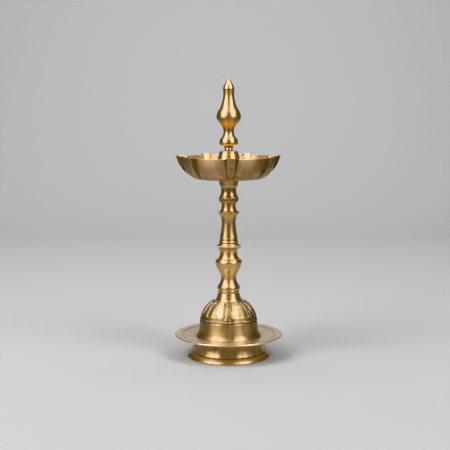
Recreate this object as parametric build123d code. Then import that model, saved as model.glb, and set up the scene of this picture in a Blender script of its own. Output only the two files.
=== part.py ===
"""Brass standing oil lamp (samai): a stack of turned and cast brass sections that screw together.

Millimetres, +Z up. The origin is on the lamp's axis, on the surface it stands on, and -Y is the front.
Every turned section is a profile of (radius, height) points spun round the axis. Heights are those of
the assembled lamp, so a profile reads like a drawing of the whole lamp from the floor to the tip.
"""

import os
from math import asin, cos, sin

from build123d import *

# Overall sizes
LAMP_HEIGHT = 241.3
PLATE_RADIUS = 47.0
FOOT_RADIUS = 36.2

# Heights at which one section stands on the next
PLATE_BOTTOM = 16.6
PLATE_SEAT = 18.0
PLATE_TOP = 20.0
NECK_RING = (56.0, 58.8)
KNOP_RING = (91.0, 92.6)
COLLAR_RING = (134.0, 135.6)
SEAT_RING = (147.2, 148.6)
BOWL_BOTTOM = 154.6
BOWL_FLOOR = 156.4
FINIAL_RING = (182.2, 183.8)

# Threaded studs: radius, and the height where each one ends inside the section that screws onto it
M8 = 4.0
M6 = 3.0
M4 = 2.0
ROD_TOP = 67.0
KNOP_STUD_TOP = 100.8
COLLAR_STUD_TOP = 140.2
SEAT_STUD_TOP = 154.2
FINIAL_STUD_TOP = 190.6
STUD_SEAT_DEPTH = 8.0
SHORT_SEAT_DEPTH = 4.6
THREAD_PLAY = 0.05
RING_PLAY = 0.3
END_PLAY = 0.3

# Casting walls
FOOT_WALL = 2.2
WEB = 3.0
DOME_WALL = 2.2

# Bowl
SPOUTS = 7
SPOUT_TURN = 2.5
BOWL_WALL = 1.5
PANEL_RIM = 174.8
TIP_RADIUS = 46.3
TIP_HEIGHT = 175.9
FLANK_INSET = 1.3
SOCKET_RADIUS = 8.9
BOSS_RADIUS = 12.5
WEDGE_BOTTOM = 156.0
WEDGE_TOP = 178.0

# Drip plate: a flat middle, a dished band and a flat lip
MIDDLE_RADIUS = 30.5
LIP_RADIUS = 44.0
GROOVE_RADII = (41.1, 39.8)
GROOVE_DEPTH = 0.25

# Base fastening
NUT_ACROSS_FLATS = 13.0
NUT_HEIGHT = 6.4
WASHER_RADIUS = 8.5
WASHER_THICKNESS = 1.6
ROD_END = 5.0
ROD_PLAY = 0.25
SPIGOT_RADIUS = 10.0
FIT_PLAY = 0.05


def to(radius, height):
    """A straight stretch of a profile."""
    return lambda here: Line(here, (radius, height))


def arc(middle, end):
    """A round stretch of a profile, through a middle point to its end."""
    return lambda here: ThreePointArc(here, middle, end)


def curve(*points):
    """A smooth stretch of a profile through the given points."""
    return lambda here: Spline(here, *points)


def cap(top):
    """A round end, square to the axis, that rises to its highest point."""

    def stretch(here):
        radius, height = Vector(here).X, Vector(here).Y
        rise = top - height
        ball = (radius**2 + rise**2) / (2 * rise)
        half_angle = asin(radius / ball) / 2
        middle = (ball * sin(half_angle), top - ball + ball * cos(half_angle))
        return ThreePointArc(here, middle, (0, top))

    return stretch


def turned(start, *stretches):
    """The solid that a profile makes when it is spun round the lamp's axis."""
    edges = []
    here = start
    for stretch in stretches:
        edge = stretch(here)
        edges.append(edge)
        here = edge @ 1
    edges.append(Line(here, start))
    return revolve(Plane.XZ * make_face(edges), Axis.Z)


def rod(radius, low, high):
    """A plain round bar on the axis between two heights."""
    return Pos(0, 0, low) * Cylinder(
        radius, high - low, align=(Align.CENTER, Align.CENTER, Align.MIN)
    )


def stud_hole(low, high, radius):
    """The tapped hole that a stud is screwed down into, as tight as the stud."""
    return rod(radius, low, high)


def screw_hole(low, stud_top, radius):
    """The tapped hole by which a section turns on the stud of the one below."""
    return rod(radius + THREAD_PLAY, low, stud_top + END_PLAY)


def joint_ring(heights, radius, stud_radius):
    """A loose ring with rounded edges that lies between two sections, round their stud."""
    low, high = heights
    edge = (high - low) / 4
    ring = turned(
        (0, low),
        to(radius - edge, low),
        arc((radius - 0.3 * edge, low + 0.3 * edge), (radius, low + edge)),
        to(radius, high - edge),
        arc((radius - 0.3 * edge, high - 0.3 * edge), (radius - edge, high)),
        to(0, high),
    )
    return ring - rod(stud_radius + RING_PLAY, low, high)


def make_foot():
    """Flared hollow foot: a rim flange, a groove, a waisted wall and a web that the rod goes through."""
    outside = turned(
        (0, 0),
        to(FOOT_RADIUS - 0.5, 0),
        arc((FOOT_RADIUS - 0.1, 0.3), (FOOT_RADIUS, 1.0)),
        arc((34.6, 2.5), (32.9, 4.2)),
        to(32.3, 4.5),
        to(32.3, 4.9),
        to(32.5, 5.2),
        arc((30.7, 10.5), (29.6, PLATE_BOTTOM)),
        to(SPIGOT_RADIUS, PLATE_BOTTOM),
        to(SPIGOT_RADIUS, PLATE_SEAT),
        to(0, PLATE_SEAT),
    )
    inside = turned(
        (0, 0),
        to(33.4, 0),
        arc((28.9, 9.0), (27.6, PLATE_BOTTOM - WEB)),
        to(0, PLATE_BOTTOM - WEB),
    )
    return outside - inside - rod(M8 + ROD_PLAY, 0, PLATE_SEAT)


def dish_height(radius):
    """Height of the plate's upper face on its dished band."""
    share = (radius - MIDDLE_RADIUS) / (LIP_RADIUS - MIDDLE_RADIUS)
    return PLATE_SEAT + share * (PLATE_TOP - PLATE_SEAT)


def make_drip_plate():
    """Shallow dish with a rounded rim, two turned grooves and a register that centres the dome."""
    thickness = PLATE_SEAT - PLATE_BOTTOM
    rim = thickness / 2
    grooves = []
    for radius in GROOVE_RADII:
        grooves += [
            to(radius + 0.3, dish_height(radius + 0.3)),
            to(radius, dish_height(radius) - GROOVE_DEPTH),
            to(radius - 0.3, dish_height(radius - 0.3)),
        ]
    plate = turned(
        (0, PLATE_BOTTOM),
        to(MIDDLE_RADIUS, PLATE_BOTTOM),
        to(LIP_RADIUS, PLATE_TOP - thickness),
        to(PLATE_RADIUS - rim, PLATE_TOP - thickness),
        arc((PLATE_RADIUS, PLATE_TOP - rim), (PLATE_RADIUS - rim, PLATE_TOP)),
        to(LIP_RADIUS, PLATE_TOP),
        *grooves,
        to(MIDDLE_RADIUS, PLATE_SEAT),
        to(25.4, PLATE_SEAT),
        to(25.4, PLATE_SEAT + 1.2),
        to(23.0, PLATE_SEAT + 1.2),
        to(23.0, PLATE_SEAT),
        to(0, PLATE_SEAT),
    )
    return plate - rod(SPIGOT_RADIUS + FIT_PLAY, PLATE_BOTTOM, PLATE_SEAT)


def make_dome():
    """Hollow bell: a flared skirt, an upright wall, a rounded crown and a conical neck."""
    neck_top = NECK_RING[0]
    outside = turned(
        (0, PLATE_SEAT),
        to(28.2, PLATE_SEAT),
        to(28.2, PLATE_SEAT + 0.6),
        arc((26.6, 20.8), (25.8, 24.6)),
        to(25.3, 31.5),
        curve((24.2, 35.5), (21.8, 41.3), (17.6, 46.2), (12.9, 49.4)),
        arc((11.4, 50.2), (10.7, 51.4)),
        to(9.35, neck_top),
        to(0, neck_top),
    )
    inside = turned(
        (0, PLATE_SEAT),
        to(25.5, PLATE_SEAT),
        to(25.5, PLATE_SEAT + 1.5),
        to(23.4, 24.6),
        to(23.1, 31.5),
        curve((22.0, 35.0), (19.6, 40.0), (15.4, 44.2), (10.5, 46.6)),
        to(0, 46.6),
    )
    return outside - inside - stud_hole(46.6, neck_top, M8)


def make_base_rod():
    """Threaded rod that pulls foot, plate and dome together, and stands proud as the first stud."""
    return rod(M8, ROD_END, ROD_TOP)


def make_base_washer():
    """Flat washer under the web of the foot."""
    top = PLATE_BOTTOM - WEB
    return rod(WASHER_RADIUS, top - WASHER_THICKNESS, top) - rod(M8 + ROD_PLAY, 0, top)


def make_base_nut():
    """Hexagon nut with chamfered corners on the lower end of the rod."""
    top = PLATE_BOTTOM - WEB - WASHER_THICKNESS
    bottom = top - NUT_HEIGHT
    hexagon = RegularPolygon(NUT_ACROSS_FLATS / 2, 6, major_radius=False)
    prism = Pos(0, 0, bottom) * extrude(hexagon, NUT_HEIGHT)
    corner = NUT_ACROSS_FLATS / 2 / 0.866
    bevelled = turned(
        (0, bottom),
        to(corner - 0.9, bottom),
        to(corner + 0.1, bottom + 0.6),
        to(corner + 0.1, top - 0.6),
        to(corner - 0.9, top),
        to(0, top),
    )
    return (prism & bevelled) - rod(M8, bottom, top)


def make_lower_baluster():
    """Bell collar, waist and sharp-edged knop."""
    bottom = NECK_RING[1]
    top = KNOP_RING[0]
    body = turned(
        (0, bottom),
        to(9.5, bottom),
        arc((9.85, 59.9), (9.8, 61.3)),
        to(9.6, 62.3),
        curve((8.2, 64.1), (7.2, 66.3), (6.6, 68.6)),
        to(6.75, 69.0),
        curve((6.75, 70.8), (7.25, 72.9)),
        to(7.45, 73.2),
        curve((8.8, 75.6), (10.3, 78.2), (11.2, 81.4), (11.7, 83.6)),
        curve((11.2, 84.9), (9.4, 86.4), (8.0, 88.3), (7.4, top)),
        to(0, top),
    )
    lower_hole = screw_hole(bottom, ROD_TOP, M8)
    return body - lower_hole - stud_hole(top - STUD_SEAT_DEPTH, top, M8)


def make_middle_column():
    """Column between two sharp rings, with turned bands over the lower one."""
    bottom = KNOP_RING[1]
    top = COLLAR_RING[0]
    body = turned(
        (0, bottom),
        to(7.5, bottom),
        curve((8.2, 94.2), (9.6, 95.8)),
        arc((10.45, 97.0), (9.7, 98.3)),
        to(8.5, 99.4),
        to(8.0, 100.0),
        to(8.0, 100.5),
        arc((8.35, 101.3), (8.0, 102.1)),
        to(7.75, 102.3),
        to(7.75, 104.4),
        to(7.5, 104.7),
        to(7.75, 105.0),
        to(7.6, 105.6),
        curve((6.85, 109.5), (6.3, 113.5), (6.0, 117.8)),
        curve((6.45, 121.0), (7.2, 123.8), (8.6, 125.5)),
        arc((9.25, 126.5), (8.6, 127.3)),
        curve((7.0, 128.8), (6.3, 131.0), (6.0, top)),
        to(0, top),
    )
    lower_hole = screw_hole(bottom, KNOP_STUD_TOP, M8)
    return body - lower_hole - stud_hole(top - STUD_SEAT_DEPTH, top, M6)


def make_upper_collar():
    """Round band under a waisted throat."""
    bottom = COLLAR_RING[1]
    top = SEAT_RING[0]
    body = turned(
        (0, bottom),
        to(7.2, bottom),
        arc((7.8, 135.8), (8.1, 136.5)),
        arc((8.45, 138.4), (8.2, 140.2)),
        arc((7.9, 140.9), (7.5, 141.3)),
        curve((6.85, 143.3), (6.5, 146.0), (6.6, top)),
        to(0, top),
    )
    lower_hole = screw_hole(bottom, COLLAR_STUD_TOP, M6)
    return body - lower_hole - stud_hole(top - SHORT_SEAT_DEPTH, top, M6)


def make_bowl_socket():
    """Cup under the bowl that screws onto the stem; its spigot goes up through the bowl's floor."""
    bottom = SEAT_RING[1]
    spigot_top = BOWL_FLOOR + 4.0
    body = turned(
        (0, bottom),
        to(6.9, bottom),
        arc((7.7, 150.1), (8.1, 151.8)),
        to(SOCKET_RADIUS, BOWL_BOTTOM),
        to(M8, BOWL_BOTTOM),
        to(M8, spigot_top),
        to(0, spigot_top),
    )
    return body - screw_hole(bottom, SEAT_STUD_TOP, M6)


def keel(inset):
    """Curve of a spout's keel in the radial plane, moved into the metal by inset."""
    return Spline(
        (28.0 - 0.2 * inset, 156.1 + inset),
        (33.4 - 0.7 * inset, 158.3 + 0.8 * inset),
        (38.8 - 0.8 * inset, 162.2 + 0.6 * inset),
        (43.6 - 0.95 * inset, 168.7 + 0.3 * inset),
        (TIP_RADIUS - inset, TIP_HEIGHT),
    )


def wedge_section(height, root, nose):
    """Plan of the two flanks at one height, from their half width near the axis to that past the tip."""
    outline = Polyline((20, -root), (52, -nose), (52, nose), (20, root), close=True)
    return Plane.XY.offset(height) * make_face(outline)


def spout_wedge(inset):
    """Tapered block that gives a spout its two flanks, each moved in by inset."""
    low = wedge_section(WEDGE_BOTTOM, 1.9 - inset, 1.9 - inset)
    high = wedge_section(WEDGE_TOP, 14.0 - inset, 1.4 - inset)
    return loft([low, high], ruled=True)


def spout_solid(inset, flank_inset, top_height):
    """One spout, along +X, filled from the middle of the bowl out to its keel."""
    edge = keel(inset)
    side = [
        edge,
        Line(edge @ 1, (TIP_RADIUS - inset, top_height)),
        Line((TIP_RADIUS - inset, top_height), (24, top_height)),
        Line((24, top_height), (24, (edge @ 0).Y)),
        Line((24, (edge @ 0).Y), edge @ 0),
    ]
    slab = extrude(Plane.XZ * make_face(side), 10, both=True)
    return slab & spout_wedge(flank_inset)


def panel_solid(inset, floor, flat_radius, top_height):
    """The round part of the bowl between its spouts, filled to the axis."""
    return turned(
        (0, floor),
        to(flat_radius, floor),
        to(28.5, 156.2 + inset),
        curve(
            (32.6 - 0.7 * inset, 158.2 + 0.75 * inset),
            (36.6 - 0.9 * inset, 162.4 + 0.4 * inset),
            (39.2 - inset, 168.8),
            (39.9 - inset, PANEL_RIM),
        ),
        to(39.9 - inset, top_height),
        to(0, top_height),
    )


def make_bowl():
    """Cast bowl with seven pinched spouts, leak-proof but for the socket's spigot in its floor."""
    outside = panel_solid(0, BOWL_BOTTOM, SOCKET_RADIUS, PANEL_RIM + 0.01)
    inside = panel_solid(BOWL_WALL, BOWL_FLOOR, BOSS_RADIUS + 0.5, WEDGE_TOP)
    outer_spout = spout_solid(0, 0, TIP_HEIGHT + 0.01)
    above_lip = Polyline((20, PANEL_RIM), (39, PANEL_RIM), (48, 176.1), (48, 190), (20, 190), close=True)
    outer_spout -= extrude(Plane.XZ * make_face(above_lip), 12, both=True)
    inner_spout = spout_solid(BOWL_WALL, FLANK_INSET, WEDGE_TOP)
    for spout in range(SPOUTS):
        angle = -90 + SPOUT_TURN + spout * 360 / SPOUTS
        outside += Rot(0, 0, angle) * outer_spout
        inside += Rot(0, 0, angle) * inner_spout
    return outside - inside - rod(M8, BOWL_BOTTOM, BOWL_FLOOR)


def make_bowl_boss():
    """Bell-shaped boss that stands in the oil and carries the finial on a narrow neck."""
    neck_top = FINIAL_RING[0]
    body = turned(
        (0, BOWL_FLOOR),
        to(BOSS_RADIUS, BOWL_FLOOR),
        arc((11.6, 157.6), (11.2, 160.0)),
        curve((10.7, 166.5), (9.8, 172.5), (8.6, 177.3)),
        to(8.1, 177.9),
        to(8.05, 179.0),
        arc((7.7, 179.6), (7.0, 179.8)),
        to(4.8, 180.1),
        curve((3.6, 180.8), (3.2, neck_top)),
        to(0, neck_top),
    )
    body -= rod(M8, BOWL_FLOOR, BOWL_FLOOR + 4.0)
    return body - stud_hole(neck_top - STUD_SEAT_DEPTH, neck_top, M4)


def make_finial():
    """Spire: foot ring, waist, pear-shaped bulb, long neck and conical cap."""
    bottom = FINIAL_RING[1]
    body = turned(
        (0, bottom),
        to(3.4, bottom),
        to(3.5, 184.5),
        to(6.9, 184.7),
        arc((7.75, 185.6), (8.1, 187.3)),
        curve((7.5, 189.9), (6.3, 191.6), (5.1, 193.3), (4.45, 196.6)),
        curve((5.1, 199.9), (6.9, 202.5), (9.2, 205.3), (10.3, 207.3)),
        to(10.5, 207.8),
        arc((10.6, 209.6), (10.2, 211.5)),
        curve((9.7, 213.2), (7.8, 216.3), (5.85, 221.4), (4.75, 226.5), (4.8, 232.4)),
        to(5.05, 233.0),
        to(4.95, 233.7),
        curve((4.1, 235.8), (2.9, 238.0), (1.6, 240.4)),
        cap(LAMP_HEIGHT),
    )
    return body - screw_hole(bottom, FINIAL_STUD_TOP, M4)


def make_parts():
    """Every piece of the lamp, by the name of its node, from the floor up."""
    return {
        "foot": make_foot(),
        "drip_plate": make_drip_plate(),
        "dome": make_dome(),
        "base_rod": make_base_rod(),
        "base_washer": make_base_washer(),
        "base_nut": make_base_nut(),
        "neck_ring": joint_ring(NECK_RING, 9.35, M8),
        "lower_baluster": make_lower_baluster(),
        "knop_stud": rod(M8, KNOP_RING[0] - STUD_SEAT_DEPTH, KNOP_STUD_TOP),
        "knop_ring": joint_ring(KNOP_RING, 7.6, M8),
        "middle_column": make_middle_column(),
        "collar_stud": rod(M6, COLLAR_RING[0] - STUD_SEAT_DEPTH, COLLAR_STUD_TOP),
        "collar_ring": joint_ring(COLLAR_RING, 6.6, M6),
        "upper_collar": make_upper_collar(),
        "seat_stud": rod(M6, SEAT_RING[0] - SHORT_SEAT_DEPTH, SEAT_STUD_TOP),
        "seat_ring": joint_ring(SEAT_RING, 6.75, M6),
        "bowl_socket": make_bowl_socket(),
        "bowl": make_bowl(),
        "bowl_boss": make_bowl_boss(),
        "finial_stud": rod(M4, FINIAL_RING[0] - STUD_SEAT_DEPTH, FINIAL_STUD_TOP),
        "finial_ring": joint_ring(FINIAL_RING, 3.9, M4),
        "finial": make_finial(),
    }


os.makedirs("parts", exist_ok=True)
for name, part in make_parts().items():
    export_step(part, f"parts/{name}.step")
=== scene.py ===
"""Looks of the brass standing oil lamp (samai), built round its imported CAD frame.

Metres, +Z up, the lamp's axis on Z, its front towards -Y. Outlines are (radius, height) in millimetres,
with heights measured from the foot of the section that they belong to.
"""

from math import atan2, ceil, cos, degrees, hypot, pi, radians, sin, sqrt

import bmesh
import bpy
import numpy as np
from mathutils import Matrix, Vector


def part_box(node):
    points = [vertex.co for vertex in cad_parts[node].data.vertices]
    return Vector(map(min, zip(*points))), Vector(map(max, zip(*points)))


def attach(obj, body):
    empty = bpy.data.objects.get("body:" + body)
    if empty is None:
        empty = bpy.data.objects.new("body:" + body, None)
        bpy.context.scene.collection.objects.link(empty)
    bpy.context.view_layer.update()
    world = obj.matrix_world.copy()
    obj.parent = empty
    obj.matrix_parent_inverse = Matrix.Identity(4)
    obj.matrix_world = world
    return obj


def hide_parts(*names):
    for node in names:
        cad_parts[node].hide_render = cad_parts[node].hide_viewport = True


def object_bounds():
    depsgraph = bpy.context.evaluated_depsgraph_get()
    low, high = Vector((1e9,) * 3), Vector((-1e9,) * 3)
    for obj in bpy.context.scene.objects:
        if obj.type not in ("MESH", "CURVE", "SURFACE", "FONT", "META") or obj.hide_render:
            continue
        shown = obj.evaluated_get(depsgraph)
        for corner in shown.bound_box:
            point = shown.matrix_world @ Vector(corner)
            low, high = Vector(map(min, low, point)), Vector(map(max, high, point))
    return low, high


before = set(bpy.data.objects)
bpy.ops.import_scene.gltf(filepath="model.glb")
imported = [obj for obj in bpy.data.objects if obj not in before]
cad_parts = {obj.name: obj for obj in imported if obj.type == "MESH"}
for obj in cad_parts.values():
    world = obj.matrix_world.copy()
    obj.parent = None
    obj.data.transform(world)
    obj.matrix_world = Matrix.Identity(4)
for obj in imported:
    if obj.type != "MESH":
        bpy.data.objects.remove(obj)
cad_low, cad_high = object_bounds()

MM = 0.001

# Camera: its place in metres, its lens in millimetres, and how many degrees it looks down
CAMERA_DISTANCE = 0.8776
CAMERA_HEIGHT = 0.2234
CAMERA_ASIDE = -0.0032
CAMERA_LENS = 81.4
CAMERA_DIP = 7.0

# Turning, in millimetres: the gap between outline points and the softened edges left by buffing. A corner
# is softened where the outline turns by more than CORNER_TURN degrees
POINT_GAP = 0.55
EDGE_SOFTENING = 0.16
CORNER_TURN = 20.0

# Fits, in millimetres
THREAD_PLAY = 0.05
END_PLAY = 0.3
RING_PLAY = 0.3
ROD_CLEARANCE = 0.25
SPIGOT_RADIUS = 4.0


# Camera, floor and light

def set_camera():
    """Camera a little lower than the lamp's tip, looking slightly down."""
    data = bpy.data.cameras.new("camera")
    data.lens = CAMERA_LENS
    data.clip_start = 0.01
    data.clip_end = 50
    camera = bpy.data.objects.new("camera", data)
    camera.location = (CAMERA_ASIDE, -CAMERA_DISTANCE, CAMERA_HEIGHT)
    camera.rotation_euler = (radians(90 - CAMERA_DIP), 0, 0)
    bpy.context.scene.collection.objects.link(camera)
    bpy.context.scene.camera = camera


def softbox(name, azimuth, elevation, distance, size, power, colour, aim=None):
    """Area light on a sphere round the lamp, facing it or another point.

    Angles are in degrees, with azimuth 0 in front. Lengths are in metres and power is in watts.
    """
    data = bpy.data.lights.new(name, "AREA")
    data.shape = "RECTANGLE"
    data.size, data.size_y = size
    data.energy = power
    data.color = linear(colour)[:3]
    light = bpy.data.objects.new(name, data)
    middle = (cad_low + cad_high) / 2
    turn, rise = radians(azimuth), radians(elevation)
    aside = Vector((sin(turn) * cos(rise), -cos(turn) * cos(rise), sin(rise)))
    light.location = middle + aside * distance
    facing = Vector(aim) - light.location if aim else -aside
    light.rotation_euler = facing.to_track_quat("-Z", "Y").to_euler()
    light.visible_camera = False
    bpy.context.scene.collection.objects.link(light)


def set_studio():
    """Pale paper that sweeps up behind the lamp, softboxes left, right and overhead, and a dim room."""
    front, back, bend, rise = -0.27, 1.3, 0.5, 1.2
    half_width, widening = 0.16, 0.26
    bend_steps = 12
    bm = bmesh.new()
    line = [(front, 0.0), (back - bend, 0.0)]
    for step in range(1, bend_steps + 1):
        turn = radians(90 * step / bend_steps)
        line.append((back - bend + bend * sin(turn), bend - bend * cos(turn)))
    line.append((back, rise))
    verts = [bm.verts.new((-half_width - widening * (y - front), y, z)) for y, z in line]
    edges = [bm.edges.new(pair) for pair in zip(verts, verts[1:])]
    swept = bmesh.ops.extrude_edge_only(bm, edges=edges)["geom"]
    for vert in swept:
        if isinstance(vert, bmesh.types.BMVert):
            vert.co.x = -vert.co.x
    bmesh.ops.recalc_face_normals(bm, faces=bm.faces)
    floor = finished(bm, "studio_floor")
    floor.data.materials.append(floor_paper())

    softbox("softbox_left", -54, 42, 1.2, (0.7, 1.0), 22, "#FFFCF6")
    softbox("softbox_right", 50, 42, 1.25, (0.6, 1.0), 16, "#FFFCF6")
    softbox("softbox_top", 0, 84, 1.3, (1.2, 0.9), 2.5, "#FFFFFF")
    softbox("backdrop_light", 180, 70, 1.1, (1.4, 0.4), 13, "#FFFFFF", (0, back, 0.45))
    world = bpy.data.worlds.new("studio")
    world.use_nodes = True
    tree = world.node_tree
    room = tree.nodes["Background"]
    room.inputs["Color"].default_value = linear("#6C6A68")
    beyond = add(tree, "ShaderNodeBackground", {"Color": linear("#CDCCCA")})
    seen = add(tree, "ShaderNodeLightPath", {})
    both = add(tree, "ShaderNodeMixShader", {0: seen.outputs["Is Camera Ray"],
                                            1: room.outputs[0], 2: beyond.outputs[0]})
    tree.links.new(both.outputs[0], tree.nodes["World Output"].inputs["Surface"])
    bpy.context.scene.world = world
    bpy.context.scene.view_settings.view_transform = "Khronos PBR Neutral"


# Outlines

def to(radius, height):
    """A straight stretch of an outline."""
    return lambda here: [(radius, height)]


def arc(middle, end):
    """A round stretch of an outline, through a middle point to its end."""

    def stretch(here):
        (ax, ay), (bx, by), (cx, cy) = here, middle, end
        d = 2 * (ax * (by - cy) + bx * (cy - ay) + cx * (ay - by))
        a2, b2, c2 = ax * ax + ay * ay, bx * bx + by * by, cx * cx + cy * cy
        x = (a2 * (by - cy) + b2 * (cy - ay) + c2 * (ay - by)) / d
        y = (a2 * (cx - bx) + b2 * (ax - cx) + c2 * (bx - ax)) / d
        start = atan2(ay - y, ax - x)
        sweep = (atan2(cy - y, cx - x) - start) % (2 * pi)
        if (atan2(by - y, bx - x) - start) % (2 * pi) > sweep:
            sweep -= 2 * pi
        ball = hypot(ax - x, ay - y)
        count = max(4, ceil(abs(sweep) * ball / POINT_GAP))
        turns = [start + sweep * i / count for i in range(1, count)]
        return [(x + ball * cos(t), y + ball * sin(t)) for t in turns] + [end]

    return stretch


def curve(*points):
    """A smooth stretch of an outline through the given points: a natural cubic spline."""

    def stretch(here):
        values = np.array([here, *points])
        gaps = np.hypot(*np.diff(values, axis=0).T)
        size = len(values)
        matrix, right = np.eye(size), np.zeros((size, 2))
        for i in range(1, size - 1):
            before, after = gaps[i - 1], gaps[i]
            matrix[i, i - 1 : i + 2] = before, 2 * (before + after), after
            slope = (values[i + 1] - values[i]) / after - (values[i] - values[i - 1]) / before
            right[i] = 6 * slope
        bends = np.linalg.solve(matrix, right)
        line = []
        for i, gap in enumerate(gaps):
            count = max(2, ceil(gap / POINT_GAP))
            for step in range(1, count + 1):
                b = step / count
                a = 1 - b
                lift = ((a**3 - a) * bends[i] + (b**3 - b) * bends[i + 1]) * gap * gap / 6
                line.append(tuple(a * values[i] + b * values[i + 1] + lift))
        return line

    return stretch


def outline(start, *stretches):
    """Points of an outline made of stretches, with every sharp corner softened."""
    line = [start]
    for stretch in stretches:
        line += stretch(line[-1])
    soft = [line[0]]
    for before, here, after in zip(line, line[1:], line[2:]):
        into, out = Vector(here) - Vector(before), Vector(after) - Vector(here)
        if degrees(abs(into.angle_signed(out))) < CORNER_TURN:
            soft.append(here)
            continue
        cut = min(EDGE_SOFTENING, 0.3 * into.length, 0.3 * out.length)
        first = Vector(here) - into.normalized() * cut
        last = Vector(here) + out.normalized() * cut
        middle = first / 4 + Vector(here) / 2 + last / 4
        soft += [tuple(first), tuple(middle), tuple(last)]
    return soft + [line[-1]]


def hollows(line):
    """How far each outline point lies in a hollow, from 0 on a plain face to 1 in a deep crease."""
    reach, deep_turn = 0.7, radians(60)
    points = np.array(line)
    run = np.concatenate([[0], np.cumsum(np.hypot(*np.diff(points, axis=0).T))])
    found = []
    for along, point in zip(run, points):
        back = [np.interp(along - reach, run, points[:, i]) for i in (0, 1)]
        ahead = [np.interp(along + reach, run, points[:, i]) for i in (0, 1)]
        into, out = point - back, ahead - point
        turn = atan2(into[1] * out[0] - into[0] * out[1], into @ out)
        found.append(min(1.0, max(0.0, turn / deep_turn)))
    return found


# Pieces

def finished(bm, name):
    """The mesh as an object at the origin, smooth shaded."""
    mesh = bpy.data.meshes.new(name)
    bm.to_mesh(mesh)
    bm.free()
    mesh.shade_smooth()
    piece = bpy.data.objects.new(name, mesh)
    bpy.context.scene.collection.objects.link(piece)
    return piece


def spun(line, foot, sectors=12, steps=12, ring=False, relief=None):
    """An outline spun round the axis, as one sector that is then repeated. A ring's outline is closed.

    Relief moves the sector's outer face out or in, and says how dark each point is painted, which on the dome
    includes painted shadow and shade.
    """
    bm = bmesh.new()
    hollow = bm.verts.layers.float.new("hollow")
    row = bm.verts.layers.int.new("row")
    verts = [bm.verts.new((r * MM, 0, (foot + z) * MM)) for r, z in line]
    for i, (vert, depth) in enumerate(zip(verts, hollows(line))):
        vert[hollow] = depth
        vert[row] = i
    edges = [bm.edges.new(pair) for pair in zip(verts, verts[1:])]
    if ring:
        edges.append(bm.edges.new((verts[-1], verts[0])))
    bmesh.ops.spin(bm, geom=verts + edges, axis=(0, 0, 1), cent=(0, 0, 0),
                   angle=2 * pi / sectors, steps=steps)
    if relief:
        carve(bm, line, relief)
    sector = bm.verts[:] + bm.edges[:] + bm.faces[:]
    for turn in range(1, sectors):
        copy = bmesh.ops.duplicate(bm, geom=sector)["geom"]
        moved = [part for part in copy if isinstance(part, bmesh.types.BMVert)]
        bmesh.ops.rotate(bm, verts=moved, matrix=Matrix.Rotation(2 * pi * turn / sectors, 3, "Z"))
    bmesh.ops.remove_doubles(bm, verts=bm.verts, dist=0.002 * MM)
    bmesh.ops.recalc_face_normals(bm, faces=bm.faces)
    return bm


def carve(bm, line, relief):
    """Moves each point square to its outline by the relief there, and notes how dark it is painted, painted
    shade included.
    """
    hollow = bm.verts.layers.float["hollow"]
    row = bm.verts.layers.int["row"]
    points = [Vector(p) for p in line]
    faces = []
    for before, after in zip([points[0], *points], [*points[1:], points[-1]]):
        along = (after - before).normalized()
        faces.append(Vector((along.y, -along.x)))
    for vert in bm.verts:
        turn, radius = atan2(vert.co.y, vert.co.x), hypot(vert.co.x, vert.co.y)
        facing = faces[vert[row]]
        if facing.x <= 0:
            continue
        rise, depth = relief(turn, radius / MM, vert.co.z / MM)
        out = (radius + rise * facing.x * MM) / radius
        vert.co = vert.co.x * out, vert.co.y * out, vert.co.z + rise * facing.y * MM
        vert[hollow] = max(vert[hollow], depth)


def placed(piece, node, body, material):
    """Gives a piece its finish, hides the CAD node that it stands for, and makes it ride on its body."""
    even = piece.modifiers.new("even_shading", "WEIGHTED_NORMAL")
    even.weight = 80
    piece.data.materials.append(material)
    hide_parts(node)
    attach(piece, body)
    return piece


def span(node):
    """Height of a node's foot above the floor, and the node's own height, in millimetres."""
    low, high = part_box(node)
    return low.z / MM, (high.z - low.z) / MM


def screw_hole(stud, section):
    """Radius and depth of the hole by which a section turns on the stud below it."""
    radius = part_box(stud)[1].x / MM + THREAD_PLAY
    return radius, (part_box(stud)[1].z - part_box(section)[0].z) / MM + END_PLAY


def stud_hole(stud, section):
    """Radius of the hole that holds a stud, and its floor above the section's foot."""
    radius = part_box(stud)[1].x / MM
    return radius, (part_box(stud)[0].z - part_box(section)[0].z) / MM


def bored(section, lower, upper, *stretches):
    """Outline of a section with a screw hole in its foot and a stud's hole in its top."""
    radius, depth = screw_hole(lower, section)
    line = [to(radius, depth), to(radius, 0), *stretches]
    if upper:
        seat, floor = stud_hole(upper, section)
        line += [to(seat, span(section)[1]), to(seat, floor), to(0, floor)]
    return outline((0, depth), *line)


# Relief

def hump(distance, half_width):
    """Round ridge: 1 on its line, 0 from half its width outwards."""
    share = distance / half_width
    return (1 - share * share) ** 1.5 if abs(share) < 1 else 0.0


def ramp(value, low, high):
    """Smooth rise from 0 to 1 between two values."""
    share = min(1.0, max(0.0, (value - low) / (high - low)))
    return share * share * (3 - 2 * share)


# Sections of the lamp

def make_foot(material):
    """Flared hollow foot with a rim flange, a groove and a spigot for the plate."""
    foot, high = span("foot")
    web_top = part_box("drip_plate")[0].z / MM
    web_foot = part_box("base_washer")[1].z / MM
    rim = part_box("foot")[1].x / MM
    spigot = 10.0
    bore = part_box("base_rod")[1].x / MM + ROD_CLEARANCE
    line = outline(
        (bore, web_foot),
        to(27.6, web_foot),
        arc((28.9, 9.0), (33.4, 0)),
        to(rim - 0.5, 0),
        arc((rim - 0.1, 0.3), (rim, 1.0)),
        arc((34.75, 2.7), (32.9, 4.2)),
        to(32.3, 4.5),
        to(32.3, 4.9),
        to(32.5, 5.2),
        arc((30.7, 10.5), (29.6, web_top)),
        to(spigot, web_top),
        to(spigot, high),
        to(bore, high),
        to(bore, web_foot + 0.5),
    )
    piece = finished(spun(line, foot, steps=16, ring=True), "brass_foot")
    return placed(piece, "foot", "base", material)


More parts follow.
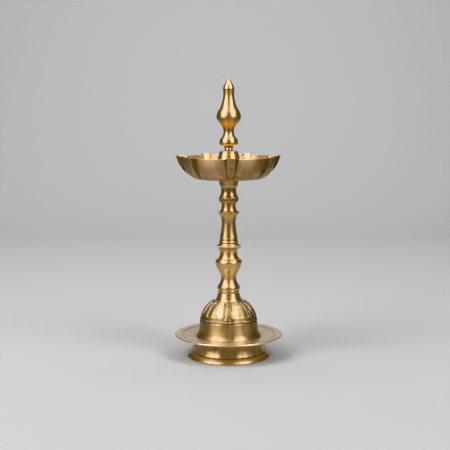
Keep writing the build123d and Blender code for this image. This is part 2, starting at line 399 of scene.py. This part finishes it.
def make_drip_plate(material):
    """Shallow dish with a rolled rim, two turned grooves and a register for the dome."""
    foot, high = span("drip_plate")
    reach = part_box("drip_plate")[1].x / MM
    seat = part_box("foot")[1].z / MM - foot
    rim = seat / 2
    middle, lip = 30.5, 44.0
    bore = 10.05
    register_outer, register_inner, register_rise = 25.4, 23.0, 1.2
    groove_half_width, groove_depth = 0.35, 0.3
    grooves = []
    for radius in (41.1, 39.8):
        for aside, cut in ((groove_half_width, 0.0), (0.0, groove_depth), (-groove_half_width, 0.0)):
            share = (radius + aside - middle) / (lip - middle)
            grooves.append(to(radius + aside, seat + share * (high - seat) - cut))
    line = outline(
        (bore, 0),
        to(middle, 0),
        to(lip, high - seat),
        to(reach - rim, high - seat),
        arc((reach, high - rim), (reach - rim, high)),
        to(lip, high),
        *grooves,
        to(middle, seat),
        to(register_outer, seat),
        to(register_outer, seat + register_rise),
        to(register_inner, seat + register_rise),
        to(register_inner, seat),
        to(bore, seat),
        to(bore, 0.4),
    )
    piece = finished(spun(line, foot, steps=16, ring=True), "brass_drip_plate")
    return placed(piece, "drip_plate", "base", material)


def dome_outline():
    """Outline of the dome: outside from the skirt to the neck, then the tapped hole and the hollow."""
    high = span("dome")[1]
    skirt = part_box("dome")[1].x / MM
    rod_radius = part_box("base_rod")[1].x / MM
    hollow_top = 28.6
    return outline(
        (rod_radius, hollow_top),
        to(10.5, hollow_top),
        curve((15.4, 26.2), (19.6, 22.0), (22.0, 17.0), (23.1, 13.5)),
        to(23.4, 6.6),
        to(25.5, 1.5),
        to(25.5, 0),
        to(skirt, 0),
        to(skirt, 0.6),
        arc((26.6, 2.8), (25.8, 6.6)),
        to(25.3, 13.5),
        curve((24.2, 17.5), (21.8, 23.3), (17.6, 28.2), (12.9, 31.4)),
        arc((11.4, 32.2), (10.7, 33.4)),
        to(9.35, high),
        to(rod_radius, high),
        to(rod_radius, hollow_top + 0.5),
    )


def dense(line, low, high, inner, gap):
    """Adds points to the outer part of an outline between two heights, no further apart than gap."""
    dense_line = [line[0]]
    for before, here in zip(line, line[1:]):
        outside = min(before[0], here[0]) > inner and low <= min(before[1], here[1])
        count = 1
        if outside and max(before[1], here[1]) <= high:
            count = max(1, ceil(hypot(here[0] - before[0], here[1] - before[1]) / gap))
        for step in range(1, count + 1):
            share = step / count
            dense_line.append(tuple(np.array(before) * (1 - share) + np.array(here) * share))
    return dense_line


# Ornament of the dome: turns in degrees, and lengths and heights above the floor in millimetres
PETALS = 6
ROPE_TURN = -3.0
PETAL_LOW, PETAL_HIGH = 37.0, 49.0
PETAL_HALF_TURN = 21.0
PETAL_CORNER = 1.8
FIELD_DEPTH = 0.12
BEAD_ROW = 34.1
BEADS = 114
ORNAMENT_LOW = 32.4
ORNAMENT_FADE = 0.6

# How dark the dome is painted: painted shade on its plain wall, tarnish inside a petal, and how much more
# tarnish outside the petals
WALL_PAINTED_SHADE = 0.45
FIELD_TARNISH = 0.12
GROUND_TARNISH = 0.4


def ridge(distance, half_width, height):
    """Height of a raised line at a distance from it, and how dark its foot is painted: a painted shadow along
    the ridge's foot.
    """
    return height * hump(distance, half_width), hump(distance, 2.0 * half_width)


def petal_lines(across, radius, height):
    """Raised outline, inner leaf, midrib and pair of small rings of one petal."""
    half = radius * radians(PETAL_HALF_TURN)
    side = abs(across) - half + PETAL_CORNER
    end = max(PETAL_LOW - height, height - PETAL_HIGH) + PETAL_CORNER
    outside = hypot(max(side, 0), max(end, 0)) + min(max(side, end), 0) - PETAL_CORNER
    lines = [ridge(outside, 0.68, 0.52)]
    leaf_low, leaf_high, leaf_half_width = 37.4, 46.0, 2.35
    share = (height - leaf_low) / (leaf_high - leaf_low)
    if 0 < share < 1:
        leaf = leaf_half_width * (1 - share**1.7)
        lines.append(ridge(abs(across) - leaf, 0.42, 0.32))
    if leaf_high - 1.2 < height < PETAL_HIGH:
        lines.append(ridge(across, 0.45, 0.32))
    ring_radius = 0.85
    for ring in (39.7, 42.1):
        lines.append(ridge(hypot(across, height - ring) - ring_radius, 0.42, 0.36))
    return lines, ramp(-outside, 0.3, 1.0)


def rope_lines(across, height):
    """Beads, an oval and chevrons that flare into a triangle, on the band between two petals."""
    lines = []
    first_bead, bead_gap = 43.9, 1.35
    for bead in range(4):
        lines.append(ridge(hypot(across, (height - first_bead - bead_gap * bead) * 1.2), 0.72, 0.45))
    oval_middle, oval_radius, oval_width = 42.0, 0.62, 1.45
    lines.append(ridge(hypot(across / oval_width, height - oval_middle) - oval_radius, 0.36, 0.4))
    triangle_top, triangle_low, chevron_top, pitch = 38.2, 35.6, 41.0, 0.95
    reach = 1.35 + 1.5 * ramp(triangle_top - height, 0, 2.4)
    if triangle_low < height < chevron_top and abs(across) < reach + 0.3:
        chevron = (height + 0.75 * abs(across)) % pitch - pitch / 2
        lines.append(ridge(chevron, 0.4, 0.38 * (1 - ramp(abs(across), reach - 0.4, reach + 0.3))))
    return lines


def dome_relief(turn, radius, height):
    """Relief of the dome's petals, rope bands and bead row, and how dark each point is painted: tarnish in
    the hollows and grooves, a painted shadow along the foot of each ridge, and painted shade on the plain
    wall below the ornament.
    """
    pitch = 360 / PETALS
    local = (degrees(turn) + 90 - ROPE_TURN) % pitch
    lines, field = petal_lines(radians(local - pitch / 2) * radius, radius, height)
    lines += rope_lines(radians((local + pitch / 2) % pitch - pitch / 2) * radius, height)
    bead_pitch = 360 / BEADS
    along = radians(degrees(turn) % bead_pitch - bead_pitch / 2) * radius
    lines.append(ridge(hypot(along, height - BEAD_ROW), 0.62, 0.3))
    for groove in (BEAD_ROW - 1.05, BEAD_ROW + 1.05):
        lines.append((-0.08 * hump(height - groove, 0.3), 0.8 * hump(height - groove, 0.4)))
    rise = max(line[0] for line in lines) + min(line[0] for line in lines)
    foot = max(line[1] for line in lines)
    fade = ramp(height, ORNAMENT_LOW, ORNAMENT_LOW + ORNAMENT_FADE)
    fade *= 1 - ramp(height, PETAL_HIGH, PETAL_HIGH + ORNAMENT_FADE)
    # Painted shadow along the foot of each raised line, and tarnish in the grooves by the bead row, none of
    # it on the raised tops.
    tarnish_and_shade = foot * (1 - min(1.0, max(0.0, rise) / 0.2))
    face = FIELD_TARNISH + GROUND_TARNISH * (1 - field)
    # Painted shade on the plain wall below the ornament, fading out where the ornament starts.
    plain_wall = WALL_PAINTED_SHADE * (1 - ramp(height, ORNAMENT_LOW, ORNAMENT_LOW + 1.0))
    return fade * (rise - FIELD_DEPTH * field), plain_wall + fade * max(tarnish_and_shade, face)


def make_dome(material):
    """Hollow bell with chased petals, rope bands and a row of beads."""
    foot = span("dome")[0]
    line = dome_outline()
    skirt = max(range(len(line)), key=lambda i: line[i][0])
    line = line[:skirt] + dense(line[skirt:], 14.2, 32.0, 11.5, 0.28)
    bm = spun(line, foot, PETALS, 96, ring=True, relief=dome_relief)
    return placed(finished(bm, "brass_dome"), "dome", "base", material)


def make_lower_baluster(material):
    """Bell collar, waist and sharp-edged knop."""
    foot, high = span("lower_baluster")
    line = bored(
        "lower_baluster", "base_rod", "knop_stud",
        to(9.5, 0),
        arc((9.85, 1.1), (9.8, 2.5)),
        to(9.6, 3.5),
        curve((8.2, 5.3), (7.2, 7.5), (6.6, 9.8)),
        to(6.75, 10.2),
        curve((6.75, 12.0), (7.25, 14.1)),
        to(7.45, 14.4),
        curve((8.8, 16.8), (10.3, 19.4), (11.2, 22.6), (11.7, 24.8)),
        curve((11.2, 26.1), (9.4, 27.6), (8.0, 29.5), (7.4, high)),
    )
    piece = finished(spun(line, foot), "brass_lower_baluster")
    return placed(piece, "lower_baluster", "lower_baluster", material)


# Teeth of the column's two rings: each ring's height above the floor and half its own height
TEETH = 30
LOWER_RING = 97.0, 1.5
UPPER_RING = 126.4, 1.25
BETWEEN_RINGS = 110


def tooth_relief(turn, radius, height):
    """Round teeth filed into the edges of the column's two rings, dark between them."""
    inside_rings = 6.5
    if radius < inside_rings:
        return 0, 0
    pitch = 360 / TEETH
    along = radians(degrees(turn) % pitch - pitch / 2) * radius
    middle, reach = LOWER_RING if height < BETWEEN_RINGS else UPPER_RING
    off = (height - middle) / reach
    if abs(off) >= 1:
        return 0, 0
    tooth = hump(hypot(along / 0.95, off), 1.0)
    notch = (1 - tooth) * (1 - off * off)
    return 0.3 * tooth - 0.55 * notch, notch


def make_middle_column(material):
    """Column between two sharp beaded rings, with turned bands over the lower one."""
    foot, high = span("middle_column")
    line = bored(
        "middle_column", "knop_stud", "collar_stud",
        to(7.5, 0),
        curve((8.2, 1.6), (9.6, 3.2)),
        arc((10.45, 4.4), (9.7, 5.7)),
        to(8.5, 6.8),
        to(8.0, 7.4),
        to(8.0, 7.9),
        arc((8.35, 8.7), (8.0, 9.5)),
        to(7.75, 9.7),
        to(7.75, 11.8),
        to(7.5, 12.1),
        to(7.75, 12.4),
        to(7.6, 13.0),
        curve((6.85, 16.9), (6.3, 20.9), (6.0, 25.2)),
        curve((6.45, 28.4), (7.2, 31.2), (8.6, 32.9)),
        arc((9.25, 33.9), (8.6, 34.7)),
        curve((7.0, 36.2), (6.3, 38.4), (6.0, high)),
    )
    line = dense(dense(line, 1.5, 6.0, 7.0, 0.22), 31.0, 35.0, 7.0, 0.22)
    bm = spun(line, foot, TEETH, 10, relief=tooth_relief)
    piece = finished(bm, "brass_middle_column")
    return placed(piece, "middle_column", "middle_column", material)


# Flutes of the upper collar's band, which fade out over FLUTE_FADE at both ends
FLUTES = 34
FLUTE_LOW, FLUTE_HIGH = 136.6, 140.2
FLUTE_FADE = 0.6


def flute_relief(turn, radius, height):
    """Upright flutes milled round the band of the upper collar."""
    hollow = (0.5 - 0.5 * cos(turn * FLUTES)) ** 2
    fade = ramp(height, FLUTE_LOW, FLUTE_LOW + FLUTE_FADE)
    fade *= 1 - ramp(height, FLUTE_HIGH - FLUTE_FADE, FLUTE_HIGH)
    return -0.28 * hollow * fade, (0.45 + 0.55 * hollow) * fade


def make_upper_collar(material):
    """Fluted round band under a waisted throat."""
    foot, high = span("upper_collar")
    line = bored(
        "upper_collar", "collar_stud", "seat_stud",
        to(7.2, 0),
        arc((7.8, 0.2), (8.1, 0.9)),
        arc((8.45, 2.8), (8.2, 4.6)),
        arc((7.9, 5.3), (7.5, 5.7)),
        curve((6.85, 7.7), (6.5, 10.4), (6.6, high)),
    )
    line = dense(line, 0.9, 4.7, 7.0, 0.3)
    bm = spun(line, foot, FLUTES, 8, relief=flute_relief)
    piece = finished(bm, "brass_upper_collar")
    return placed(piece, "upper_collar", "upper_collar", material)


def make_bowl_socket(material):
    """Cup under the bowl, with the spigot that goes up through the bowl's floor."""
    foot, high = span("bowl_socket")
    radius, depth = screw_hole("seat_stud", "bowl_socket")
    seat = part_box("bowl")[0].z / MM - foot
    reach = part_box("bowl_socket")[1].x / MM
    line = outline(
        (0, depth),
        to(radius, depth),
        to(radius, 0),
        to(6.9, 0),
        arc((7.7, 1.5), (8.1, 3.2)),
        to(reach, seat),
        to(SPIGOT_RADIUS, seat),
        to(SPIGOT_RADIUS, high),
        to(0, high),
    )
    return placed(finished(spun(line, foot), "brass_bowl_socket"), "bowl_socket", "bowl",
                  material)


def make_bowl_boss(material):
    """Bell-shaped boss that stands in the oil and carries the finial on a narrow neck."""
    foot, high = span("bowl_boss")
    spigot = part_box("bowl_socket")[1].z / MM - foot
    seat, floor = stud_hole("finial_stud", "bowl_boss")
    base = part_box("bowl_boss")[1].x / MM
    line = outline(
        (0, spigot),
        to(SPIGOT_RADIUS, spigot),
        to(SPIGOT_RADIUS, 0),
        to(base, 0),
        arc((11.6, 1.2), (11.2, 3.6)),
        curve((10.7, 10.1), (9.8, 16.1), (8.6, 20.9)),
        to(8.1, 21.5),
        to(8.05, 22.6),
        arc((7.7, 23.2), (7.0, 23.4)),
        to(4.8, 23.7),
        curve((3.6, 24.4), (3.2, high)),
        to(seat, high),
        to(seat, floor),
        to(0, floor),
    )
    return placed(finished(spun(line, foot), "brass_bowl_boss"), "bowl_boss", "bowl",
                  material)


def make_finial(material):
    """Spire: foot ring, waist, pear-shaped bulb, long neck and conical cap."""
    foot, high = span("finial")
    line = bored(
        "finial", "finial_stud", None,
        to(3.4, 0),
        to(3.5, 0.7),
        to(6.9, 0.9),
        arc((7.75, 1.8), (8.1, 3.5)),
        curve((7.5, 6.1), (6.3, 7.8), (5.1, 9.5), (4.45, 12.8)),
        curve((5.1, 16.1), (6.9, 18.7), (9.2, 21.5), (10.3, 23.5)),
        to(10.5, 24.0),
        arc((10.6, 25.8), (10.2, 27.7)),
        curve((9.7, 29.4), (7.8, 32.5), (5.85, 37.6), (4.75, 42.7), (4.8, 48.6)),
        to(5.05, 49.2),
        to(4.95, 49.9),
        curve((4.1, 52.0), (2.9, 54.2), (1.6, 56.6)),
        arc((0.9, high - 0.28), (0, high)),
    )
    return placed(finished(spun(line, foot), "brass_finial"), "finial", "finial",
                  material)


def make_joint_ring(node, stud, material):
    """Loose ring with rounded edges that lies between two sections, round their stud."""
    foot, high = span(node)
    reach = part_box(node)[1].x / MM
    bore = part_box(stud)[1].x / MM + RING_PLAY
    edge = high / 4
    line = outline(
        (bore, 0),
        to(reach - edge, 0),
        arc((reach - 0.3 * edge, 0.3 * edge), (reach, edge)),
        to(reach, high - edge),
        arc((reach - 0.3 * edge, high - 0.3 * edge), (reach - edge, high)),
        to(bore, high),
    )
    piece = finished(spun(line, foot, ring=True), "brass_" + node)
    return placed(piece, node, node, material)


def make_threaded(node, body, pitch, material):
    """Stud or rod with a real helical thread, trimmed flat at both ends."""
    foot, high = span(node)
    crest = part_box(node)[1].x / MM
    root = crest - 0.6 * pitch
    turn_steps = 28
    turns = ceil(high / pitch) + 2
    rise = [(root, 0), (root, 0.12), (crest, 0.45), (crest, 0.6), (root, 0.95), (root, 1)]
    bm = bmesh.new()
    hollow = bm.verts.layers.float.new("hollow")
    verts = [bm.verts.new((r * MM, 0, (foot + (share - 1) * pitch) * MM)) for r, share in rise]
    for vert, (radius, _) in zip(verts, rise):
        vert[hollow] = float(radius == root)
    edges = [bm.edges.new(pair) for pair in zip(verts, verts[1:])]
    bmesh.ops.spin(bm, geom=verts + edges, axis=(0, 0, 1), cent=(0, 0, 0), angle=2 * pi,
                   dvec=(0, 0, pitch * MM / turn_steps), steps=turn_steps)
    one_turn = bm.verts[:] + bm.edges[:] + bm.faces[:]
    for turn in range(1, turns):
        copy = bmesh.ops.duplicate(bm, geom=one_turn)["geom"]
        moved = [part for part in copy if isinstance(part, bmesh.types.BMVert)]
        bmesh.ops.translate(bm, verts=moved, vec=(0, 0, turn * pitch * MM))
    bmesh.ops.remove_doubles(bm, verts=bm.verts, dist=0.005 * MM)
    for height, side in ((foot, -1), (foot + high, 1)):
        cut = bmesh.ops.bisect_plane(bm, geom=bm.verts[:] + bm.edges[:] + bm.faces[:], dist=1e-7,
                                     plane_co=(0, 0, height * MM), plane_no=(0, 0, side),
                                     clear_outer=True)
        rim = [e for e in cut["geom_cut"] if isinstance(e, bmesh.types.BMEdge)]
        bmesh.ops.holes_fill(bm, edges=rim, sides=0)
    bmesh.ops.recalc_face_normals(bm, faces=bm.faces)
    piece = finished(bm, "threaded_" + node)
    return placed(piece, node, body, material)


# Bowl with pinched spouts, heights above its own foot

SPOUTS = 7
SPOUT_TURN = 2.5
BOWL_WALL = 1.5
FLANK_INSET = 1.3
FLOOR_RADIUS = 28.5
RIM_RADIUS = 39.9
RIM_HEIGHT = 20.2
TIP_LIFT = 1.1
SPOUT_FOOT = 1.5

# Columns of points across half a sector, and those of them on a spout's flank, whose outside is darkened as
# painted shade
HALF_COLUMNS = 22
FLANK_COLUMNS = range(4, 11)
FLANK_PAINTED_SHADE = 1.0
PANEL_TARNISH = 0.5


def keel_radius(height, wall):
    """Radius of a spout's keel at a height, outside (wall 0), inside (wall 1) or between."""
    radii = []
    for inset in (0, BOWL_WALL):
        line = [(28.0 - 0.2 * inset, 1.5 + inset)]
        line += curve(
            (33.4 - 0.7 * inset, 3.7 + 0.8 * inset),
            (38.8 - 0.8 * inset, 7.6 + 0.6 * inset),
            (43.6 - 0.95 * inset, 14.1 + 0.3 * inset),
            (46.3 - inset, 21.3),
        )(line[0])
        radii.append(np.interp(height, [p[1] for p in line], [p[0] for p in line]))
    return radii[0] * (1 - wall) + radii[1] * wall


def flank_half_width(radius, height, wall):
    """Half the width between a spout's two flanks: they lean apart upwards and close in outwards.

    At the bottom it is 1 mm. At the top it goes from 14 mm at radius 20 down to 1.4 mm at radius 52.
    """
    bottom = 1.0
    rise = (height - 1.4) / 22
    top = 14.0 - 12.6 * (radius - 20) / 32
    return bottom * (1 - rise) + top * rise - FLANK_INSET * wall


def rounded(before, corner, after, cut):
    """Three points that take a corner round."""
    first = corner + (before - corner).normalized() * min(cut, 0.35 * (before - corner).length)
    last = corner + (after - corner).normalized() * min(cut, 0.35 * (after - corner).length)
    return [first, first / 4 + corner / 2 + last / 4, last]


def half_section(radius, height, wall):
    """Plan of half a sector at one height: nose, flank and round panel, as points from the spout's middle."""
    reach = max(keel_radius(height, wall), radius + 0.02)
    nose = Vector((reach - 0.12, max(0.3, flank_half_width(reach, height, wall))))
    half = nose.y
    for _ in range(4):
        across = sqrt(radius * radius - half * half)
        half = max(nose.y + 0.02, flank_half_width(across, height, wall))
    crease = Vector((sqrt(radius * radius - half * half), half))
    middle = Vector((reach, 0))
    end = pi / SPOUTS
    start = atan2(crease.y, crease.x)
    beyond = Vector((cos(start + 0.05), sin(start + 0.05))) * radius
    corner = rounded(middle, nose, crease, 0.7)
    valley = rounded(nose, crease, beyond, 0.9)
    points = [middle, (middle + corner[0]) / 2, *corner]
    points += [corner[2].lerp(valley[0], step / 4) for step in (1, 2, 3)]
    points += valley
    first = atan2(valley[2].y, valley[2].x)
    rest = HALF_COLUMNS + 1 - len(points)
    for step in range(1, rest + 1):
        turn = first + (end - first) * step / rest
        points.append(Vector((cos(turn), sin(turn))) * radius)
    return points


def bowl_outline():
    """Outline through a panel of the bowl, and how far each point is from outside (0) to inside (1)."""
    floor = 1.8
    inner = RIM_RADIUS - BOWL_WALL
    line = outline(
        (SPIGOT_RADIUS, floor - 0.4),
        to(SPIGOT_RADIUS, 0),
        to(8.9, 0),
        to(FLOOR_RADIUS, 1.6),
        curve((32.6, 3.6), (36.6, 7.8), (39.2, 14.2), (RIM_RADIUS, RIM_HEIGHT - 0.5)),
        arc((RIM_RADIUS - 0.12, RIM_HEIGHT - 0.12), (RIM_RADIUS - 0.45, RIM_HEIGHT)),
        to(inner + 0.45, RIM_HEIGHT),
        arc((inner + 0.12, RIM_HEIGHT - 0.12), (inner, RIM_HEIGHT - 0.5)),
        curve((37.7, 14.2), (35.25, 8.4), (31.55, 4.7), (FLOOR_RADIUS, 3.1)),
        to(13.0, floor),
        to(SPIGOT_RADIUS, floor),
        to(SPIGOT_RADIUS, floor - 0.3),
    )
    line = dense(dense(line, 0, 2.0, 8.0, 2.5), 1.7, 3.2, 12.0, 2.5)
    peak = max(range(len(line)), key=lambda i: line[i][1])
    walls = []
    for i, (radius, height) in enumerate(line):
        across = (RIM_RADIUS - radius) / BOWL_WALL
        on_rim = height > RIM_HEIGHT - 0.5
        walls.append(min(1.0, max(0.0, across)) if on_rim else float(i > peak))
    return line, walls


def make_bowl(material):
    """Shallow cast bowl whose wall is pinched out into seven spouts."""
    foot = span("bowl")[0]
    line, walls = bowl_outline()
    places = []
    plain = {}
    for wall in (0.0, 1.0):
        start = half_section(FLOOR_RADIUS, 1.6 + BOWL_WALL * wall, wall)
        plain[wall] = [atan2(p.y, p.x) for p in start]
    for (radius, height), wall in zip(line, walls):
        rise = min(1.0, max(0.0, (height - SPOUT_FOOT) / (RIM_HEIGHT - SPOUT_FOOT)))
        lift = TIP_LIFT * rise * rise
        if radius > FLOOR_RADIUS:
            section = half_section(radius, height + lift, wall)
        else:
            section = [Vector((cos(t), sin(t))) * radius for t in plain[round(wall)]]
        depth = max(0.01, section[0].x - radius)
        heights = [height + lift * min(1.0, max(0.0, p.length - radius) / depth) for p in section]
        places.append((section, heights))
    bm = spun(line, foot, SPOUTS, 2 * HALF_COLUMNS, ring=True)
    sector = 2 * pi / SPOUTS
    row = bm.verts.layers.int["row"]
    hollow = bm.verts.layers.float["hollow"]
    for vert in bm.verts:
        section, heights = places[vert[row]]
        turn = atan2(vert.co.y, vert.co.x) % (2 * pi)
        spout = round(turn / sector)
        local = turn - spout * sector
        column = round(abs(local) / sector * 2 * HALF_COLUMNS)
        along, across = section[column]
        if local < 0:
            across = -across
        facing = radians(-90 + SPOUT_TURN) + spout * sector
        height = line[vert[row]][1]
        # Outside, a spout's flanks are darkened as painted shade, and the panels are tarnished.
        on_flank = column in FLANK_COLUMNS and height > SPOUT_FOOT + 1
        outside = 1 - walls[vert[row]]
        tarnish_and_shade = FLANK_PAINTED_SHADE if on_flank else PANEL_TARNISH
        vert[hollow] = max(vert[hollow], tarnish_and_shade * outside)
        vert.co.x = (along * cos(facing) - across * sin(facing)) * MM
        vert.co.y = (along * sin(facing) + across * cos(facing)) * MM
        vert.co.z = (foot + heights[column]) * MM
    bmesh.ops.recalc_face_normals(bm, faces=bm.faces)
    return placed(finished(bm, "brass_bowl"), "bowl", "bowl", material)


# Materials

def linear(colour):
    """An sRGB hex colour as the linear values that a shader takes."""
    values = [int(colour[i : i + 2], 16) / 255 for i in (1, 3, 5)]
    return [v / 12.92 if v <= 0.04045 else ((v + 0.055) / 1.055) ** 2.4 for v in values] + [1.0]


def add(tree, kind, inputs, **settings):
    """Adds a node: its settings, and each input as a value or as a link from an output."""
    node = tree.nodes.new(kind)
    for name, value in settings.items():
        setattr(node, name, value)
    for name, value in inputs.items():
        if isinstance(value, bpy.types.NodeSocket):
            tree.links.new(value, node.inputs[name])
        else:
            node.inputs[name].default_value = value
    return node


def new_material(name):
    """An empty node material with its Principled shader."""
    material = bpy.data.materials.new(name)
    material.use_nodes = True
    return material, material.node_tree, material.node_tree.nodes["Principled BSDF"]


def metal(name, colour, tarnish_and_shade, gloss, line_gap, line_depth, grain_gap, grain_depth,
          patina_and_shade=0.75, spread=0.6, streak=0.2):
    """A metal turned on a lathe or cast: rings of tool lines, a fine grain, smudges, tarnished hollows and
    painted shade.

    Colours are clean metal and the dark colour for both tarnish and painted shade, gloss is the least and
    most roughness, and the gaps and depths of tool lines and grain are in millimetres. The finest tool lines
    run round the lamp and spread reflections up and down, which is spread, and polishing leaves upright
    streaks.

    Real tool lines are about 0.1 mm apart and real grain is about 0.3 mm. Both are too fine to show,
    so every metal here draws them coarser, at 0.5 to 3 mm.
    """
    smudge_gap, streak_gap = 14, 3.5
    material, tree, shader = new_material(name)
    place = add(tree, "ShaderNodeTexCoord", {}).outputs["Object"]
    flat = add(tree, "ShaderNodeVectorMath", {0: place, 1: (1, 1, 0)}, operation="MULTIPLY")
    radius = add(tree, "ShaderNodeVectorMath", {0: flat.outputs[0]}, operation="LENGTH")
    height = add(tree, "ShaderNodeSeparateXYZ", {"Vector": place})
    turned = add(tree, "ShaderNodeCombineXYZ", {"X": radius.outputs["Value"], "Z": height.outputs["Z"]})
    lines = add(tree, "ShaderNodeTexNoise",
                {"Vector": turned.outputs[0], "Scale": 1 / (line_gap * MM), "Detail": 2.0})
    grain = add(tree, "ShaderNodeTexNoise",
                {"Vector": place, "Scale": 1 / (grain_gap * MM), "Detail": 3.0, "Roughness": 0.6})
    smudge = add(tree, "ShaderNodeTexNoise",
                 {"Vector": place, "Scale": 1 / (smudge_gap * MM), "Detail": 4.0, "Distortion": 0.6})
    upright = add(tree, "ShaderNodeVectorMath", {0: place, 1: (1, 1, 0.07)}, operation="MULTIPLY")
    streaks = add(tree, "ShaderNodeTexNoise",
                  {"Vector": upright.outputs[0], "Scale": 1 / (streak_gap * MM), "Detail": 3.0})
    rough = add(tree, "ShaderNodeMapRange",
                {"Value": smudge.outputs["Fac"], "From Min": 0.3, "From Max": 0.7,
                 "To Min": gloss[0], "To Max": gloss[1]})
    # The hollow attribute says how dark each point is painted: tarnish in the turned hollows and grooves, and
    # painted shade as shadows along the dome's ridges, on its plain lower wall and on the bowl's spout
    # flanks.
    hollow = add(tree, "ShaderNodeAttribute", {}, attribute_name="hollow")
    stain = add(tree, "ShaderNodeMapRange",
                {"Value": smudge.outputs["Fac"], "From Min": 0.45, "From Max": 0.8,
                 "To Min": 0.0, "To Max": 0.16})
    drawn = add(tree, "ShaderNodeMapRange",
                {"Value": streaks.outputs["Fac"], "From Min": 0.45, "From Max": 0.75,
                 "To Min": 0.0, "To Max": streak})
    wear = add(tree, "ShaderNodeMath", {0: stain.outputs[0], 1: drawn.outputs[0]}, operation="ADD")
    depth = add(tree, "ShaderNodeMath", {0: hollow.outputs["Fac"], 1: patina_and_shade, 2: wear.outputs[0]},
                operation="MULTIPLY_ADD", use_clamp=True)
    tint = add(tree, "ShaderNodeMix", {0: depth.outputs[0], 6: linear(colour), 7: linear(tarnish_and_shade)},
               data_type="RGBA")
    dull = add(tree, "ShaderNodeMath", {0: depth.outputs[0], 1: 0.25, 2: rough.outputs[0]},
               operation="MULTIPLY_ADD")
    tool = add(tree, "ShaderNodeBump",
               {"Height": lines.outputs["Fac"], "Distance": line_depth * MM, "Strength": 1.0})
    skin = add(tree, "ShaderNodeBump",
               {"Height": grain.outputs["Fac"], "Distance": grain_depth * MM, "Strength": 1.0,
                "Normal": tool.outputs["Normal"]})
    round_axis = add(tree, "ShaderNodeVectorMath", {0: (0, 0, 1), 1: place}, operation="CROSS_PRODUCT")
    around = add(tree, "ShaderNodeVectorTransform", {"Vector": round_axis.outputs[0]},
                 vector_type="VECTOR", convert_from="OBJECT", convert_to="WORLD")
    shader.inputs["Metallic"].default_value = 1.0
    shader.inputs["Anisotropic"].default_value = spread
    shader.inputs["Anisotropic Rotation"].default_value = 0.25
    tree.links.new(around.outputs[0], shader.inputs["Tangent"])
    tree.links.new(tint.outputs[2], shader.inputs["Base Color"])
    tree.links.new(dull.outputs[0], shader.inputs["Roughness"])
    tree.links.new(skin.outputs["Normal"], shader.inputs["Normal"])
    return material


def turned_brass():
    """Lathe-turned brass, buffed: bright soft-edged highlights, faint rings, brown in its grooves."""
    return metal("turned_brass_buffed", "#DABB88", "#684828", (0.27, 0.35), 0.8, 0.006, 1.6, 0.003)


def cast_brass():
    """Sand-cast brass, filed and polished: as bright as the turned stem, but slightly uneven."""
    return metal("cast_brass_polished", "#D8BA8C", "#5C4228", (0.28, 0.38), 1.1, 0.006, 3.0, 0.012,
                 streak=0.45)


def chased_brass():
    """Cast and chased brass: polished on its ridges, with dark wax and tarnish left in the pattern, a painted
    shadow along the foot of each ridge and painted shade on its plain lower wall.
    """
    return metal("chased_brass", "#E2C898", "#3C2814", (0.24, 0.34), 1.1, 0.005, 2.2, 0.008, 0.9,
                 streak=0.4)


def bowl_brass():
    """Cast bowl brass, buffed with a coarser mop: a satin gloss with broad soft reflections."""
    return metal("bowl_brass_satin", "#E4C79C", "#604428", (0.34, 0.42), 1.2, 0.008, 2.5, 0.012)


def plate_brass():
    """Brass faced on the lathe: fine rings that spread the light, so it looks pale and satin."""
    return metal("plate_brass_faced", "#EED7B6", "#7A5E3A", (0.27, 0.35), 0.6, 0.002, 1.5, 0.002,
                 streak=0.1)


def rod_brass():
    """Rolled thread in drawn brass rod: bright crests, and oil-darkened roots."""
    return metal("rod_brass_threaded", "#DDB06A", "#54340F", (0.25, 0.35), 0.5, 0.004, 1.0, 0.004)


def plated_steel():
    """Zinc-plated steel, as bought: a cool grey with a faint mottle."""
    return metal("zinc_plated_steel", "#B9BCC0", "#6E6F70", (0.30, 0.42), 0.7, 0.003, 1.2, 0.006)


def floor_paper():
    """Pale grey seamless paper: matt, with a faint fibre, drawn coarser than it is so that it shows."""
    fibres_per_mm = 0.9
    material, tree, shader = new_material("studio_paper")
    place = add(tree, "ShaderNodeTexCoord", {}).outputs["Object"]
    fibre = add(tree, "ShaderNodeTexNoise", {"Vector": place, "Scale": fibres_per_mm / MM, "Detail": 2.0})
    tint = add(tree, "ShaderNodeMix",
               {0: fibre.outputs["Fac"], 6: linear("#999A9D"), 7: linear("#9FA0A3")}, data_type="RGBA")
    tree.links.new(tint.outputs[2], shader.inputs["Base Color"])
    shader.inputs["Roughness"].default_value = 0.85
    return material


def make_lamp():
    """Every piece of the lamp, from the floor up."""
    turned, cast, rod = turned_brass(), cast_brass(), rod_brass()
    make_foot(cast)
    make_drip_plate(plate_brass())
    make_dome(chased_brass())
    make_lower_baluster(turned)
    make_middle_column(turned)
    make_upper_collar(turned)
    make_bowl_socket(turned)
    make_bowl(bowl_brass())
    make_bowl_boss(turned)
    make_finial(turned)
    rings = {"neck_ring": "base_rod", "knop_ring": "knop_stud", "collar_ring": "collar_stud",
             "seat_ring": "seat_stud", "finial_ring": "finial_stud"}
    for ring, stud in rings.items():
        make_joint_ring(ring, stud, turned)
    studs = {"base_rod": ("base", 1.25), "knop_stud": ("lower_baluster", 1.25),
             "collar_stud": ("middle_column", 1.0), "seat_stud": ("upper_collar", 1.0),
             "finial_stud": ("bowl", 0.7)}
    for stud, (body, pitch) in studs.items():
        make_threaded(stud, body, pitch, rod)
    steel = plated_steel()
    for node in ("base_washer", "base_nut"):
        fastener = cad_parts[node]
        fastener.data.materials.clear()
        fastener.data.materials.append(steel)


set_camera()
set_studio()
make_lamp()
